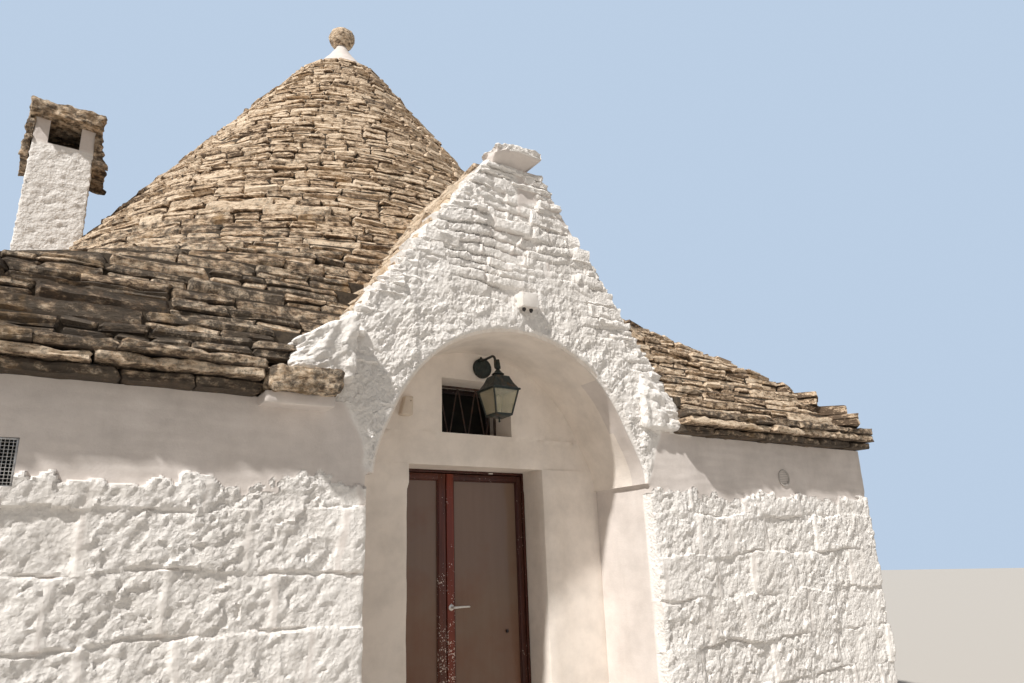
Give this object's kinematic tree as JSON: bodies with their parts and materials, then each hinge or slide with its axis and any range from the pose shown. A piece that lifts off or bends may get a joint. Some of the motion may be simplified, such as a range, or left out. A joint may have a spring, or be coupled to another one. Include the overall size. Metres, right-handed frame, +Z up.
{
  "type": "trullo house",
  "caption": "Dry stone house with a corbelled cone roof over square whitewashed walls, an arched gabled porch with a glazed door, a wall lantern and a chimney.",
  "frame": {"origin": "on the ground under the point of the cone, at the middle of the plan", "axes": "+Z up; the porch and door face -Y; +X to the right seen from the front"},
  "size_m": [8, 8.46, 8.6402],
  "materials": {
    "limewashed_wall": "rough limewash over rubble",
    "smooth_plaster": "smooth limewashed plaster",
    "floor_stone": "worn stone floor",
    "roof_limestone": "weathered dry-laid slabs",
    "lichened_stone": "dark lichened stone",
    "painted_wood": "worn red-brown paint",
    "door_glass": "clear panes",
    "lever_metal": "satin",
    "dark_iron": "dark paint",
    "lantern_glass": "frosted",
    "vent_plastic": "white plastic"
  },
  "bodies": {
    "house": {"floor": "floor_stone", "porch_floor": "floor_stone", "front_wall_left": "limewashed_wall", "front_wall_right": "limewashed_wall", "party_wall_left": "limewashed_wall", "party_wall_right": "limewashed_wall", "rear_wall": "limewashed_wall", "door_wall_left": "smooth_plaster", "door_wall_right": "smooth_plaster", "window_wall": "smooth_plaster", "gable_wall": "limewashed_wall", "gable_cap_stone": "limewashed_wall", "porch_roof_left": "roof_limestone", "porch_roof_right": "roof_limestone", "porch_ridge": "smooth_plaster", "eaves_front_left": "lichened_stone", "eaves_front_right": "lichened_stone", "eaves_rear": "lichened_stone", "eaves_end_stone": "lichened_stone", "eaves_corbel": "smooth_plaster", "haunch_front_left": "roof_limestone", "haunch_front_right": "roof_limestone", "haunch_rear_left": "roof_limestone", "haunch_rear_right": "roof_limestone", "cone_front_left": "roof_limestone", "cone_front_right": "roof_limestone", "cone_rear_left": "roof_limestone", "cone_rear_right": "roof_limestone", "cone_crown": "roof_limestone", "plaster_cap": "smooth_plaster", "finial_stone": "lichened_stone", "chimney_shaft": "limewashed_wall", "chimney_cap_slab": "lichened_stone", "chimney_side_slab_left": "lichened_stone", "chimney_side_slab_right": "lichened_stone", "door_frame": "painted_wood", "window_grille": "dark_iron", "window_sash": "painted_wood", "window_pane": "door_glass", "lantern_bracket": "dark_iron", "lantern_cage": "dark_iron", "lantern_panes": "lantern_glass", "mesh_vent": "dark_iron", "round_vent": "vent_plastic", "junction_box": "vent_plastic", "arch_box": "smooth_plaster"},
    "main_door_leaf": {"main_leaf": "painted_wood", "main_leaf_pane": "door_glass"},
    "narrow_door_leaf": {"narrow_leaf": "painted_wood", "narrow_leaf_pane": "door_glass"},
    "lever_handle": {"door_lever": "lever_metal"}
  },
  "joints": [
    {"name": "main_leaf_hinge", "type": "hinge", "parent": "house", "child": "main_door_leaf", "pos_m": [0.565, -3.063, 1.17], "axis": [0, 0, -1], "range_deg": [0, 90]},
    {"name": "narrow_leaf_hinge", "type": "hinge", "parent": "house", "child": "narrow_door_leaf", "pos_m": [-0.539, -3.063, 1.17], "axis": [0, 0, 1], "range_deg": [0, 90]},
    {"name": "lever_turn", "type": "hinge", "parent": "main_door_leaf", "child": "lever_handle", "pos_m": [-0.096, -3.0925, 1.215], "axis": [0, 1, 0], "range_deg": [0, 35], "stiffness_Nm_per_rad": 1.5, "springref_deg": -28.65}
  ]
}
